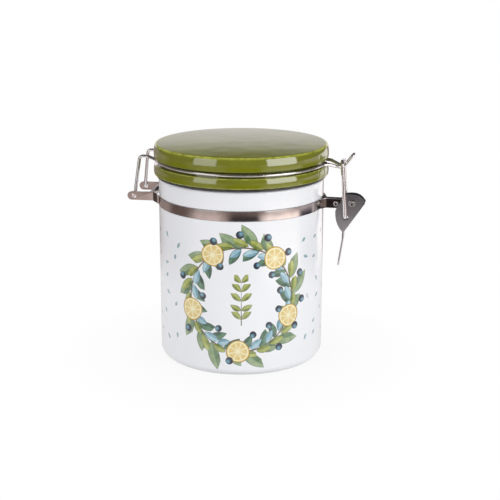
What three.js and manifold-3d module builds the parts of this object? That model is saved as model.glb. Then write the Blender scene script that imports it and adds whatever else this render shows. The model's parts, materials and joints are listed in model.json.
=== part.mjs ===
// Clip-top jar: a glazed ceramic canister whose lid hangs in a bent wire bail. The bail is hinged on
// a steel band round the jar's neck, and an over-centre lever with a wire loop pulls it shut.
// Millimetres, +Z up. The origin is the centre of the base, the latch is at +X and the hinge at -X.

import * as THREE from 'three';
import { mergeVertices } from 'three/addons/utils/BufferGeometryUtils.js';
import Module from 'manifold-3d';

const wasm = await Module();
wasm.setup();

// Clearances
const SEAT_GAP = 0.3;
const HOLE_PLAY = 0.4;
const LOOP_HOLE_PLAY = 0.8;
const PLUG_CLEARANCE = 2.9;

// Jar body
const BODY_RADIUS = 50;
const BODY_WALL = 4.5;
const FLOOR_THICKNESS = 5;
const RIM_HEIGHT = 111.5;
const BASE_FILLET = 4.8;
const INNER_FILLET = 6;
const RIM_FILLET = 1.5;

// Lid
const LID_OVERHANG = 2.8;
const LOWER_FLANGE_HEIGHT = 6.1;
const GROOVE_WIDTH = 3.6;
const GROOVE_DEPTH = 3.3;
const UPPER_FLANGE_HEIGHT = 8.2;
const CROWN_RISE = 0.8;
const LID_EDGE_FILLET = 1.3;
const FLANGE_FILLET = 0.6;
const RIM_LEAN = 18;
const RIM_UNDERCUT = 10;
const PLUG_DEPTH = 9.9;
const PLUG_TAPER = 1.2;
const PLUG_WALL = 6.1;
const PLUG_FILLET = 1.4;
const LID_HOLLOW_FILLET = 5;
const LID_CROWN_THICKNESS = 6.2;

// Gasket
const GASKET_WIDTH = 8.4;
const GASKET_THICKNESS = 1.4;
const GASKET_EDGE = 0.5;

// Band round the neck, in two halves of sheet steel
const SHEET = 0.8;
const BAND_BELOW_RIM = 14.1;
const BAND_WIDTH = 5.6;
const BAND_SEAT_DEPTH = 0.8;

// Hinge ears at the back ends of the band
const EAR_SPACING = 28.6;
const EAR_HEIGHT = 5.2;
const EAR_LIFT = 1.8;
const EAR_ROOT_STANDOFF = 1.6;
const HINGE_STANDOFF = 13.4;
const EAR_NOSE = 4.1;
const EAR_FLARE_ANGLE = 18.5;
const BRIDGE_STANDOFF = 3.6;
const BRIDGE_HEIGHT = 5;
const BRIDGE_FLANGE = 4.2;

// Latch tabs at the front ends of the band
const TAB_GAP = 3.6;
const TAB_DROP = 1;
const TAB_ROOT_STANDOFF = 1.9;
const TAB_FLARE_ANGLE = 12;
const CLAMP_STANDOFF = 8;
const PIVOT_STANDOFF = 17.7;
const PIVOT_RISE = 0.7;
const TAB_NOSE = 2.8;

// Hollow rivets
const CLAMP_SHANK_RADIUS = 0.9;
const CLAMP_HEAD_RADIUS = 1.6;
const PIVOT_SHANK_RADIUS = 1.1;
const PIVOT_HEAD_RADIUS = 2;
const RIVET_HEAD_THICKNESS = 0.5;
const RIVET_HEAD_CHAMFER = 0.3;
const RIVET_TUBE_WALL = 0.5;
const SHOULDER_WALL = 0.7;

// Lever, folded from sheet: two cheeks, a back between them and a finger tongue
const LOOP_HOLE_BACK = 3.8;
const LOOP_HOLE_DROP = 8.6;
const LOOP_HOLE_SEAT = 0.6;
const HEEL_REACH = 7.8;
const HEEL_RISE = 0.2;
const TOE_BACK = 4.8;
const TOE_DROP = 18.3;
const CHEEK_TOP = 5.1;
const CHEEK_BELLY_BACK = 9.9;
const CHEEK_BELLY_DROP = 5.6;
const CHEEK_WAIST_BACK = 7.1;
const CHEEK_SHOULDER_BACK = 6.2;
const CHEEK_SHOULDER_RISE = 3.5;
const TONGUE_NECK = 3.5;
const TONGUE_LENGTH = 18.2;
const TONGUE_LEAN = 8.5;
const TONGUE_WIDTH = 9.6;

// Wire bail and loop
const WIRE_DIAMETER = 2;
const BEND_RADIUS = 2.4;
const PIN_BEND_RADIUS = 1.3;
const RING_BEND_RADIUS = 4.8;
const PIN_END = 0.2;
const LEG_TOP_SPACING = 20.4;
const LEG_TOP_STANDOFF = 10.4;
const LEG_RISE = 1.9;
const HINGE_RUN = 5.2;
const RING_ENTRY_ANGLE = 24;
const RING_ENTRY_RUN = 6;
const RING_RISE = 0.9;
const NOSE_ANGLE = 14;
const NOSE_ENTRY_RUN = 3;
const NOSE_SPREAD = 3.4;
const NOSE_SILL_REACH = 1;
const NOSE_DROP = 1.9;
const NOSE_FLAT_START = 6.4;
const NOSE_DIP_REACH = 9.7;
const NOSE_TIP_REACH = 5.3;
const NOSE_TIP_RISE = 7.2;
const NOSE_TIP_FLAT = 0.05;
const LOOP_REACH = 8.7;
const LOOP_SLACK = 1.7;
const LOOP_SPLAY = 1;

// Fineness of round faces
const TURN_SIDES = 64;
const RIVET_SIDES = 18;
const WIRE_SIDES = 8;
const FILLET_STEPS = 3;
const FLANGE_STEPS = 2;
const BULGE_STEPS = 3;
const CROWN_STEPS = 2;
const BAND_STEPS = 36;
const OUTLINE_STEPS = 12;
const FOLD_SIDES = 16;
const BEND_STEP_DEGREES = 15;
const RING_STEP_DEGREES = 5;

// Heights and places that follow from the sizes above
const WIRE_RADIUS = WIRE_DIAMETER / 2;
const innerRadius = BODY_RADIUS - BODY_WALL;
const lidRadius = BODY_RADIUS + LID_OVERHANG;
const plugRadius = innerRadius - PLUG_CLEARANCE;
const hollowRadius = plugRadius - PLUG_WALL;
const gasketInner = plugRadius + SEAT_GAP;
const gasketOuter = gasketInner + GASKET_WIDTH;
const gasketLow = RIM_HEIGHT + SEAT_GAP;
const gasketHigh = gasketLow + GASKET_THICKNESS;
const lidLow = gasketHigh + SEAT_GAP;
const grooveLow = lidLow + LOWER_FLANGE_HEIGHT;
const grooveHigh = grooveLow + GROOVE_WIDTH;
const lidEdge = grooveHigh + UPPER_FLANGE_HEIGHT;
const lidTop = lidEdge + CROWN_RISE;
const grooveRadius = lidRadius - GROOVE_DEPTH;
const ringRadius = grooveRadius + SEAT_GAP + WIRE_RADIUS;
const ringHeight = grooveLow + SEAT_GAP + WIRE_RADIUS;
const bandHeight = RIM_HEIGHT - BAND_BELOW_RIM;
const bandRadius = BODY_RADIUS - BAND_SEAT_DEPTH + SEAT_GAP + SHEET / 2;
const hingeX = -(BODY_RADIUS + HINGE_STANDOFF);
const hingeHeight = bandHeight + EAR_LIFT;
const tabHeight = bandHeight - TAB_DROP;
const tabOffset = TAB_GAP / 2 + SHEET / 2;
const tabFace = tabOffset + SHEET / 2;
const pivotX = BODY_RADIUS + PIVOT_STANDOFF;
const pivotHeight = tabHeight + PIVOT_RISE;
const clampX = BODY_RADIUS + CLAMP_STANDOFF;
const cheekFace = tabFace + SEAT_GAP + SHEET;
const loopHoleX = pivotX - LOOP_HOLE_BACK;
const loopHoleHeight = pivotHeight - LOOP_HOLE_DROP;
const noseDipHeight = ringHeight - NOSE_DROP;
const crossbarHeight = noseDipHeight + WIRE_DIAMETER + LOOP_SLACK;
const drillLength = EAR_SPACING * 2;

const radians = THREE.MathUtils.degToRad;

// A closed geometry with shared corners, no collapsed triangles and its faces pointing out
function closedGeometry(source) {
  const bare = source.clone();
  bare.deleteAttribute('normal');
  bare.deleteAttribute('uv');
  const merged = mergeVertices(bare, 1e-4);
  const corners = merged.index.array;
  const kept = [];
  for (let i = 0; i < corners.length; i += 3) {
    const [a, b, c] = [corners[i], corners[i + 1], corners[i + 2]];
    if (a !== b && b !== c && c !== a) {
      kept.push(a, b, c);
    }
  }
  merged.setIndex(kept);
  if (signedVolume(merged) < 0) {
    merged.setIndex(kept.reverse());
  }
  return merged;
}

function signedVolume(geometry) {
  const position = geometry.attributes.position;
  const corners = geometry.index.array;
  const [a, b, c] = [new THREE.Vector3(), new THREE.Vector3(), new THREE.Vector3()];
  let sum = 0;
  for (let i = 0; i < corners.length; i += 3) {
    a.fromBufferAttribute(position, corners[i]);
    b.fromBufferAttribute(position, corners[i + 1]);
    c.fromBufferAttribute(position, corners[i + 2]);
    sum += a.dot(b.cross(c));
  }
  return sum / 6;
}

function solidFrom(geometry) {
  const closed = closedGeometry(geometry);
  return new wasm.Manifold(new wasm.Mesh({
    numProp: 3,
    vertProperties: new Float32Array(closed.attributes.position.array),
    triVerts: new Uint32Array(closed.index.array),
  }));
}

function geometryFrom(solid) {
  const mesh = solid.getMesh();
  const geometry = new THREE.BufferGeometry();
  geometry.setAttribute('position', new THREE.BufferAttribute(mesh.vertProperties, 3));
  geometry.setIndex(new THREE.BufferAttribute(mesh.triVerts, 1));
  return geometry;
}

function joined(geometries) {
  return geometries.map(solidFrom).reduce((whole, next) => whole.add(next));
}

// Arc of a profile, from one angle to another in degrees, both ends included
function arc(centreX, centreY, radius, fromDegrees, toDegrees, steps = FILLET_STEPS) {
  const points = [];
  for (let i = 0; i <= steps; i += 1) {
    const angle = radians(fromDegrees + (toDegrees - fromDegrees) * i / steps);
    points.push(new THREE.Vector2(centreX + radius * Math.cos(angle), centreY + radius * Math.sin(angle)));
  }
  return points;
}

function point(x, y) {
  return new THREE.Vector2(x, y);
}

// A solid of revolution about the Z axis from a radius and height profile
function turned(profile, sides = TURN_SIDES) {
  return new THREE.LatheGeometry(profile, sides).rotateX(Math.PI / 2);
}

// A flat shape drawn in plan and raised along Z
function raised(shape, low, height) {
  const options = { depth: height, bevelEnabled: false, curveSegments: OUTLINE_STEPS };
  return new THREE.ExtrudeGeometry(shape, options).translate(0, 0, low);
}

// A shape drawn on the XZ plane, with its thickness centred on the given Y
function standing(shape, centreY, thickness) {
  const options = { depth: thickness, bevelEnabled: false, curveSegments: OUTLINE_STEPS };
  return new THREE.ExtrudeGeometry(shape, options)
    .rotateX(Math.PI / 2)
    .translate(0, centreY + thickness / 2, 0);
}

// A round bar along Y
function crossBar(x, z, radius, length, sides = RIVET_SIDES) {
  return new THREE.CylinderGeometry(radius, radius, length, sides).translate(x, 0, z);
}

// A plate of sheet between two plan points, whose middle height may step up or down along it
function sheetPlate(from, to, fromHeight, toHeight, width) {
  const along = new THREE.Vector3(to.x - from.x, to.y - from.y, 0);
  const length = along.length();
  along.normalize();
  const up = new THREE.Vector3(0, 0, 1);
  const across = along.clone().cross(up);
  const shape = new THREE.Shape([
    point(0, fromHeight - width / 2),
    point(length, toHeight - width / 2),
    point(length, toHeight + width / 2),
    point(0, fromHeight + width / 2),
  ]);
  const plate = new THREE.ExtrudeGeometry(shape, { depth: SHEET, bevelEnabled: false });
  const place = new THREE.Matrix4().makeBasis(along, up, across);
  place.setPosition(from.x - across.x * SHEET / 2, from.y - across.y * SHEET / 2, 0);
  return plate.applyMatrix4(place);
}

// The rounded fold where two plates meet
function sheetFold(at, height, width) {
  return new THREE.CylinderGeometry(SHEET / 2, SHEET / 2, width, FOLD_SIDES)
    .rotateX(Math.PI / 2)
    .translate(at.x, at.y, height);
}

// A wire's centre line: corners joined by straight runs, with an arc at each corner that has a bend
function bentRoute(corners) {
  const route = [];
  corners.forEach((corner, index) => {
    if (!corner.bend) {
      route.push(corner.at);
      return;
    }
    const back = corners[index - 1].at.clone().sub(corner.at).normalize();
    const ahead = corners[index + 1].at.clone().sub(corner.at).normalize();
    const inside = back.angleTo(ahead);
    const turn = Math.PI - inside;
    const middle = back.clone().add(ahead).normalize();
    const centre = corner.at.clone().addScaledVector(middle, corner.bend / Math.sin(inside / 2));
    const setback = corner.bend / Math.tan(inside / 2);
    const spoke = corner.at.clone().addScaledVector(back, setback).sub(centre);
    const axis = ahead.clone().cross(back).negate().normalize();
    const steps = Math.max(2, Math.ceil(turn / radians(BEND_STEP_DEGREES)));
    for (let i = 0; i <= steps; i += 1) {
      const turned = spoke.clone().applyAxisAngle(axis, -turn * i / steps);
      route.push(centre.clone().add(turned));
    }
  });
  return route;
}

// A polyline path with a section at each of its points, square to the bisector there
class WirePath extends THREE.Curve {
  constructor(route) {
    super();
    this.route = route;
  }

  getUtoTmapping(share) {
    return share;
  }

  getPoint(share, target = new THREE.Vector3()) {
    const place = share * (this.route.length - 1);
    const index = Math.min(Math.floor(place), this.route.length - 2);
    return target.copy(this.route[index]).lerp(this.route[index + 1], place - index);
  }

  getTangent(share, target = new THREE.Vector3()) {
    const last = this.route.length - 1;
    const index = Math.round(share * last);
    const here = this.route[index];
    const arriving = here.clone().sub(this.route[Math.max(index - 1, 0)]).normalize();
    const leaving = this.route[Math.min(index + 1, last)].clone().sub(here).normalize();
    return target.copy(arriving).add(leaving).normalize();
  }
}

function wireAlong(route) {
  const section = [];
  for (let i = 0; i < WIRE_SIDES; i += 1) {
    const angle = 2 * Math.PI * i / WIRE_SIDES;
    section.push(point(WIRE_RADIUS * Math.cos(angle), WIRE_RADIUS * Math.sin(angle)));
  }
  const options = {
    steps: route.length - 1,
    bevelEnabled: false,
    extrudePath: new WirePath(route),
  };
  return closedGeometry(new THREE.ExtrudeGeometry(new THREE.Shape(section), options));
}

// A front half route and its mirror image at the back, as one route
function mirroredRoute(half) {
  const back = half.map((p) => new THREE.Vector3(p.x, -p.y, p.z)).reverse();
  return half.concat(back);
}

function jarBody() {
  const seatRadius = BODY_RADIUS - BAND_SEAT_DEPTH;
  const seatLow = bandHeight - BAND_WIDTH / 2 - SEAT_GAP;
  const seatHigh = bandHeight + BAND_WIDTH / 2 + SEAT_GAP;
  const profile = [
    point(0, 0),
    ...arc(BODY_RADIUS - BASE_FILLET, BASE_FILLET, BASE_FILLET, -90, 0),
    point(BODY_RADIUS, seatLow),
    point(seatRadius, seatLow),
    point(seatRadius, seatHigh),
    point(BODY_RADIUS, seatHigh),
    ...arc(BODY_RADIUS - RIM_FILLET, RIM_HEIGHT - RIM_FILLET, RIM_FILLET, 0, 90),
    ...arc(innerRadius + RIM_FILLET, RIM_HEIGHT - RIM_FILLET, RIM_FILLET, 90, 180),
    ...arc(innerRadius - INNER_FILLET, FLOOR_THICKNESS + INNER_FILLET, INNER_FILLET, 0, -90),
    point(0, FLOOR_THICKNESS),
  ];
  return closedGeometry(turned(profile));
}

// The rim of a flange: a gently bulged wall between two rounded edges
function bulgedRim(low, high, highFillet) {
  const under = Math.sin(radians(RIM_UNDERCUT));
  const lean = Math.sin(radians(RIM_LEAN));
  const straight = high - low - highFillet * (1 - lean) - FLANGE_FILLET * (1 - under);
  const bulge = straight / (lean + under);
  const centreHeight = low + FLANGE_FILLET + (bulge - FLANGE_FILLET) * under;
  const within = (reach, degrees) => [
    lidRadius - bulge + reach * Math.cos(radians(degrees)),
    centreHeight + reach * Math.sin(radians(degrees)),
  ];
  return [
    ...arc(...within(bulge - FLANGE_FILLET, -RIM_UNDERCUT), FLANGE_FILLET, -90, -RIM_UNDERCUT, FLANGE_STEPS),
    ...arc(...within(0, 0), bulge, -RIM_UNDERCUT, RIM_LEAN, BULGE_STEPS),
    ...arc(...within(bulge - highFillet, RIM_LEAN), highFillet, RIM_LEAN, 90, FLANGE_STEPS),
  ];
}

function lid() {
  const plugLow = lidLow - PLUG_DEPTH;
  const plugFoot = plugRadius - PLUG_TAPER;
  const ceiling = lidTop - LID_CROWN_THICKNESS;
  const upperRim = bulgedRim(grooveHigh, lidEdge, LID_EDGE_FILLET);
  const crownStart = upperRim.at(-1).x;
  const crownRadius = (crownStart ** 2 + CROWN_RISE ** 2) / (2 * CROWN_RISE);
  const crownAngle = THREE.MathUtils.radToDeg(Math.acos(crownStart / crownRadius));
  const profile = [
    point(0, ceiling),
    ...arc(hollowRadius - LID_HOLLOW_FILLET, ceiling - LID_HOLLOW_FILLET, LID_HOLLOW_FILLET, 90, 0),
    ...arc(hollowRadius + PLUG_FILLET, plugLow + PLUG_FILLET, PLUG_FILLET, 180, 270, FLANGE_STEPS),
    ...arc(plugFoot - PLUG_FILLET, plugLow + PLUG_FILLET, PLUG_FILLET, -90, 0, FLANGE_STEPS),
    point(plugRadius, lidLow),
    ...bulgedRim(lidLow, grooveLow, FLANGE_FILLET),
    point(grooveRadius, grooveLow),
    point(grooveRadius, grooveHigh),
    ...upperRim,
    ...arc(0, lidTop - crownRadius, crownRadius, crownAngle, 90, CROWN_STEPS),
  ];
  return closedGeometry(turned(profile));
}

function gasket() {
  const outer = gasketOuter - GASKET_EDGE;
  const profile = [
    point(gasketInner, gasketLow),
    ...arc(outer, gasketLow + GASKET_EDGE, GASKET_EDGE, -90, 0, FLANGE_STEPS),
    ...arc(outer, gasketHigh - GASKET_EDGE, GASKET_EDGE, 0, 90, FLANGE_STEPS),
    point(gasketInner, gasketHigh),
    point(gasketInner, gasketLow),
  ];
  return closedGeometry(turned(profile));
}

// One half of the band: side is -1 for the front half and +1 for the back half
function halfBand(side) {
  const hingeAngle = 180 - EAR_FLARE_ANGLE;
  const onBand = (degrees) => point(
    bandRadius * Math.cos(radians(degrees)),
    side * bandRadius * Math.sin(radians(degrees)),
  );
  const strip = new THREE.Shape([
    ...arc(0, 0, bandRadius + SHEET / 2, TAB_FLARE_ANGLE, hingeAngle, BAND_STEPS),
    ...arc(0, 0, bandRadius - SHEET / 2, hingeAngle, TAB_FLARE_ANGLE, BAND_STEPS),
  ].map((p) => point(p.x, side * p.y)));
  const bandLow = bandHeight - BAND_WIDTH / 2;

  const earY = side * EAR_SPACING / 2;
  const earRoot = point(-(BODY_RADIUS + EAR_ROOT_STANDOFF), earY);
  const earTurn = onBand(hingeAngle);
  const earEnd = hingeX - EAR_NOSE + EAR_HEIGHT / 2;
  const ear = new THREE.Shape();
  ear.moveTo(earRoot.x, hingeHeight + EAR_HEIGHT / 2);
  ear.lineTo(earEnd, hingeHeight + EAR_HEIGHT / 2);
  ear.absarc(earEnd, hingeHeight, EAR_HEIGHT / 2, Math.PI / 2, Math.PI * 3 / 2, false);
  ear.lineTo(earRoot.x, hingeHeight - EAR_HEIGHT / 2);

  const tabRoot = point(BODY_RADIUS + TAB_ROOT_STANDOFF, side * tabOffset);
  const tabTurn = onBand(TAB_FLARE_ANGLE);
  const tabEnd = pivotX + TAB_NOSE - BAND_WIDTH / 2;
  const tab = new THREE.Shape();
  tab.moveTo(tabRoot.x, tabHeight - BAND_WIDTH / 2);
  tab.lineTo(tabEnd, tabHeight - BAND_WIDTH / 2);
  tab.absarc(tabEnd, tabHeight, BAND_WIDTH / 2, -Math.PI / 2, Math.PI / 2, false);
  tab.lineTo(tabRoot.x, tabHeight + BAND_WIDTH / 2);

  const blank = joined([
    raised(strip, bandLow, BAND_WIDTH),
    sheetFold(earTurn, bandHeight, BAND_WIDTH),
    sheetPlate(earTurn, earRoot, bandHeight, hingeHeight, EAR_HEIGHT),
    sheetFold(earRoot, hingeHeight, EAR_HEIGHT),
    standing(ear, earY, SHEET),
    sheetFold(tabTurn, bandHeight, BAND_WIDTH),
    sheetPlate(tabTurn, tabRoot, bandHeight, tabHeight, BAND_WIDTH),
    sheetFold(tabRoot, tabHeight, BAND_WIDTH),
    standing(tab, side * tabOffset, SHEET),
  ]);
  const holes = [
    crossBar(hingeX, hingeHeight, WIRE_RADIUS + HOLE_PLAY, drillLength),
    crossBar(clampX, tabHeight, CLAMP_SHANK_RADIUS + HOLE_PLAY, drillLength),
    crossBar(pivotX, pivotHeight, PIVOT_SHANK_RADIUS + HOLE_PLAY, drillLength),
  ];
  return geometryFrom(holes.map(solidFrom).reduce((rest, hole) => rest.subtract(hole), blank));
}

// A folded strip that ties the roots of the two ears together
function hingeBridge() {
  const webX = -(BODY_RADIUS + BRIDGE_STANDOFF);
  const reach = EAR_SPACING / 2 - SHEET - SEAT_GAP;
  const corners = [
    point(webX - BRIDGE_FLANGE, -reach),
    point(webX, -reach),
    point(webX, reach),
    point(webX - BRIDGE_FLANGE, reach),
  ];
  const plates = corners.slice(1).map((corner, index) => (
    sheetPlate(corners[index], corner, hingeHeight, hingeHeight, BRIDGE_HEIGHT)
  ));
  const folds = [corners[1], corners[2]].map((corner) => sheetFold(corner, hingeHeight, BRIDGE_HEIGHT));
  return geometryFrom(joined([...plates, ...folds]));
}

// A hollow rivet along Y whose heads lie outside the given face and whose shoulder spaces the tabs
function hollowRivet(x, z, face, shankRadius, headRadius) {
  const bore = shankRadius - RIVET_TUBE_WALL;
  const seat = face + SEAT_GAP;
  const end = seat + RIVET_HEAD_THICKNESS;
  const shoulder = TAB_GAP / 2 - SEAT_GAP;
  const shoulderRadius = shankRadius + SHOULDER_WALL;
  const profile = [
    point(bore, -end),
    point(headRadius - RIVET_HEAD_CHAMFER, -end),
    point(headRadius, RIVET_HEAD_CHAMFER - end),
    point(headRadius, -seat),
    point(shankRadius, -seat),
    point(shankRadius, -shoulder),
    point(shoulderRadius, -shoulder),
    point(shoulderRadius, shoulder),
    point(shankRadius, shoulder),
    point(shankRadius, seat),
    point(headRadius, seat),
    point(headRadius, end - RIVET_HEAD_CHAMFER),
    point(headRadius - RIVET_HEAD_CHAMFER, end),
    point(bore, end),
    point(bore, -end),
  ];
  const rivet = new THREE.LatheGeometry(profile, RIVET_SIDES);
  return closedGeometry(rivet.translate(x, 0, z));
}

// The lid wire: pins in the ears, legs, a run to the groove, the ring and a hooked nose
function lidBail() {
  const at = (x, y, z) => new THREE.Vector3(x, y, z);
  const earFace = EAR_SPACING / 2 - SHEET / 2;
  const legFootY = earFace - SEAT_GAP - WIRE_RADIUS;
  const pinEndY = earFace + SHEET + PIN_END;
  const legTopX = -(BODY_RADIUS + LEG_TOP_STANDOFF);
  const legTopY = LEG_TOP_SPACING / 2;
  const runHeight = ringHeight + LEG_RISE;
  const onRing = (degrees) => at(
    ringRadius * Math.cos(radians(degrees)),
    ringRadius * Math.sin(radians(degrees)),
    ringHeight + RING_RISE * (1 - Math.cos(radians(degrees))) / 2,
  );
  const ringTangent = (degrees) => at(-Math.sin(radians(degrees)), Math.cos(radians(degrees)), 0);
  const ringStart = -180 + RING_ENTRY_ANGLE;
  const ringEnd = -NOSE_ANGLE;
  const entry = onRing(ringStart).addScaledVector(ringTangent(ringStart), -RING_ENTRY_RUN);
  const leaving = onRing(ringEnd).addScaledVector(ringTangent(ringEnd), NOSE_ENTRY_RUN);
  const noseY = NOSE_SPREAD / 2;
  const sillX = lidRadius + NOSE_SILL_REACH;
  const dipX = lidRadius + NOSE_DIP_REACH;
  const flatX = lidRadius + NOSE_FLAT_START;
  const noseWidthAt = (x) => THREE.MathUtils.lerp(-leaving.y, noseY, (x - leaving.x) / (dipX - leaving.x));
  const tipX = dipX + NOSE_TIP_REACH;
  const tipHeight = noseDipHeight + NOSE_TIP_RISE;

  const ringSteps = Math.ceil((ringEnd - ringStart) / RING_STEP_DEGREES);
  const ring = [];
  for (let i = 0; i <= ringSteps; i += 1) {
    ring.push({ at: onRing(ringStart + (ringEnd - ringStart) * i / ringSteps) });
  }
  const half = bentRoute([
    { at: at(hingeX, -pinEndY, hingeHeight) },
    { at: at(hingeX, -legFootY, hingeHeight), bend: PIN_BEND_RADIUS },
    { at: at(legTopX, -legTopY, runHeight), bend: BEND_RADIUS },
    { at: at(legTopX + HINGE_RUN, -legTopY, runHeight), bend: BEND_RADIUS },
    { at: entry, bend: RING_BEND_RADIUS },
    ...ring,
    { at: leaving, bend: RING_BEND_RADIUS },
    { at: at(sillX, -noseWidthAt(sillX), ringHeight), bend: BEND_RADIUS },
    { at: at(flatX, -noseWidthAt(flatX), noseDipHeight), bend: BEND_RADIUS },
    { at: at(dipX, -noseY, noseDipHeight), bend: BEND_RADIUS },
    { at: at(tipX, -noseY, tipHeight), bend: noseY - NOSE_TIP_FLAT },
    { at: at(tipX, 0, tipHeight) },
  ]);
  half.pop();
  return wireAlong(mirroredRoute(half));
}

// The outline of a cheek, seen from the front, round the pivot
function cheekOutline() {
  const along = (dx, dz) => [pivotX + dx, pivotHeight + dz];
  const heel = along(HEEL_REACH, HEEL_RISE);
  const toe = along(-TOE_BACK, -TOE_DROP);
  const belly = along(-CHEEK_BELLY_BACK, -CHEEK_BELLY_DROP);
  const waist = along(-CHEEK_WAIST_BACK, 0);
  const shoulder = along(-CHEEK_SHOULDER_BACK, CHEEK_SHOULDER_RISE);
  const top = along(0, CHEEK_TOP);
  const outline = new THREE.Shape();
  outline.moveTo(...heel);
  outline.lineTo(...toe);
  outline.quadraticCurveTo(belly[0], toe[1] + (belly[1] - toe[1]) / 3, ...belly);
  outline.quadraticCurveTo(belly[0], (belly[1] * 2 + waist[1]) / 3, ...waist);
  outline.lineTo(...shoulder);
  outline.quadraticCurveTo(shoulder[0], top[1], ...top);
  outline.quadraticCurveTo(heel[0] - CHEEK_TOP / 2, top[1], ...heel);
  return outline;
}

// The lever's back and tongue, as one strip of sheet seen from the front
function leverStrip(points) {
  const left = [];
  const right = [];
  points.forEach((here, index) => {
    const before = points[Math.max(index - 1, 0)];
    const after = points[Math.min(index + 1, points.length - 1)];
    const along = after.clone().sub(before).normalize();
    const normal = point(-along.y, along.x);
    left.push(here.clone().addScaledVector(normal, SHEET / 2));
    right.push(here.clone().addScaledVector(normal, -SHEET / 2));
  });
  return new THREE.Shape([...left, ...right.reverse()]);
}

function latchLever() {
  const cheekCentre = cheekFace - SHEET / 2;
  const heel = point(pivotX + HEEL_REACH, pivotHeight + HEEL_RISE);
  const toe = point(pivotX - TOE_BACK, pivotHeight - TOE_DROP);
  const slope = heel.clone().sub(toe).normalize();
  const inward = point(-slope.y, slope.x).multiplyScalar(SHEET / 2);
  const backTop = heel.clone().add(inward).addScaledVector(slope, -SHEET);
  const backFoot = toe.clone().add(inward);
  const neck = point(backFoot.x, backFoot.y - TONGUE_NECK);
  const lean = radians(TONGUE_LEAN);
  const tongueEnd = point(neck.x - TONGUE_LENGTH * Math.sin(lean), neck.y - TONGUE_LENGTH * Math.cos(lean));

  const back = standing(leverStrip([backTop, backFoot]), 0, cheekFace * 2);
  const tongue = standing(leverStrip([backFoot, neck, tongueEnd]), 0, TONGUE_WIDTH);
  const tongueRound = new THREE.Shape();
  const half = TONGUE_WIDTH / 2;
  const neckHalf = cheekFace;
  tongueRound.moveTo(neckHalf, backFoot.y + SHEET);
  tongueRound.lineTo(-neckHalf, backFoot.y + SHEET);
  tongueRound.lineTo(-half, neck.y);
  tongueRound.lineTo(-half, tongueEnd.y + half);
  tongueRound.absarc(0, tongueEnd.y + half, half, Math.PI, Math.PI * 2, false);
  tongueRound.lineTo(half, neck.y);
  const cutter = new THREE.ExtrudeGeometry(tongueRound, { depth: TONGUE_LENGTH * 2, bevelEnabled: false })
    .rotateX(Math.PI / 2)
    .rotateZ(Math.PI / 2)
    .translate(neck.x - TONGUE_LENGTH, 0, 0);
  const roundedTongue = solidFrom(tongue).intersect(solidFrom(cutter));
  const blank = joined([
    standing(cheekOutline(), -cheekCentre, SHEET),
    standing(cheekOutline(), cheekCentre, SHEET),
    back,
  ]).add(roundedTongue);
  const holes = [
    crossBar(pivotX, pivotHeight, PIVOT_SHANK_RADIUS + HOLE_PLAY, drillLength),
    crossBar(loopHoleX, loopHoleHeight - LOOP_HOLE_SEAT, WIRE_RADIUS + LOOP_HOLE_PLAY, drillLength),
  ];
  return geometryFrom(holes.map(solidFrom).reduce((rest, hole) => rest.subtract(hole), blank));
}

// The wire loop: ends turned into the cheeks, two legs and a crossbar over the bail's nose
function latchLoop() {
  const at = (x, y, z) => new THREE.Vector3(x, y, z);
  const rivetHeadEnd = cheekFace + SEAT_GAP + RIVET_HEAD_THICKNESS;
  const legY = rivetHeadEnd + SEAT_GAP + WIRE_RADIUS;
  const pinEndY = cheekFace - SHEET;
  const crossbarX = lidRadius + LOOP_REACH;
  const half = bentRoute([
    { at: at(loopHoleX, -pinEndY, loopHoleHeight) },
    { at: at(loopHoleX, -legY, loopHoleHeight), bend: PIN_BEND_RADIUS },
    { at: at(crossbarX, -legY - LOOP_SPLAY, crossbarHeight), bend: BEND_RADIUS },
    { at: at(crossbarX, 0, crossbarHeight) },
  ]);
  half.pop();
  return wireAlong(mirroredRoute(half));
}

const glaze = new THREE.MeshStandardMaterial({ color: 0xf0f1f3, roughness: 0.15, metalness: 0 });
const lidGlaze = new THREE.MeshStandardMaterial({ color: 0x787c26, roughness: 0.12, metalness: 0 });
const silicone = new THREE.MeshStandardMaterial({ color: 0x9a9a98, roughness: 0.5, metalness: 0 });
const bandSteel = new THREE.MeshStandardMaterial({ color: 0x8c807c, roughness: 0.25, metalness: 1 });
const wireSteel = new THREE.MeshStandardMaterial({ color: 0xb4b2b0, roughness: 0.2, metalness: 1 });
const leverSteel = new THREE.MeshStandardMaterial({ color: 0x86828a, roughness: 0.35, metalness: 1 });

const jar = new THREE.Group();

function addPiece(name, geometry, material) {
  const mesh = new THREE.Mesh(geometry, material);
  mesh.name = name;
  jar.add(mesh);
}

addPiece('jar_body', jarBody(), glaze);
addPiece('lid', lid(), lidGlaze);
addPiece('gasket', gasket(), silicone);
addPiece('front_band', halfBand(-1), bandSteel);
addPiece('rear_band', halfBand(1), bandSteel);
addPiece('hinge_bridge', hingeBridge(), bandSteel);
const clampRivet = hollowRivet(clampX, tabHeight, tabFace, CLAMP_SHANK_RADIUS, CLAMP_HEAD_RADIUS);
const pivotRivet = hollowRivet(pivotX, pivotHeight, cheekFace, PIVOT_SHANK_RADIUS, PIVOT_HEAD_RADIUS);
addPiece('clamp_rivet', clampRivet, wireSteel);
addPiece('pivot_rivet', pivotRivet, wireSteel);
addPiece('lid_bail', lidBail(), wireSteel);
addPiece('latch_lever', latchLever(), leverSteel);
addPiece('latch_loop', latchLoop(), wireSteel);

export default jar;
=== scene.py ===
"""Looks of a clip-top jar: glazed ceramic, silicone, polished steel sheet and drawn wire.

Metres, +Z up. The origin is the centre of the base, the latch is at +X and the hinge at -X.
"""

import json
import math

import bmesh
import bpy
from mathutils import Matrix, Vector


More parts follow.
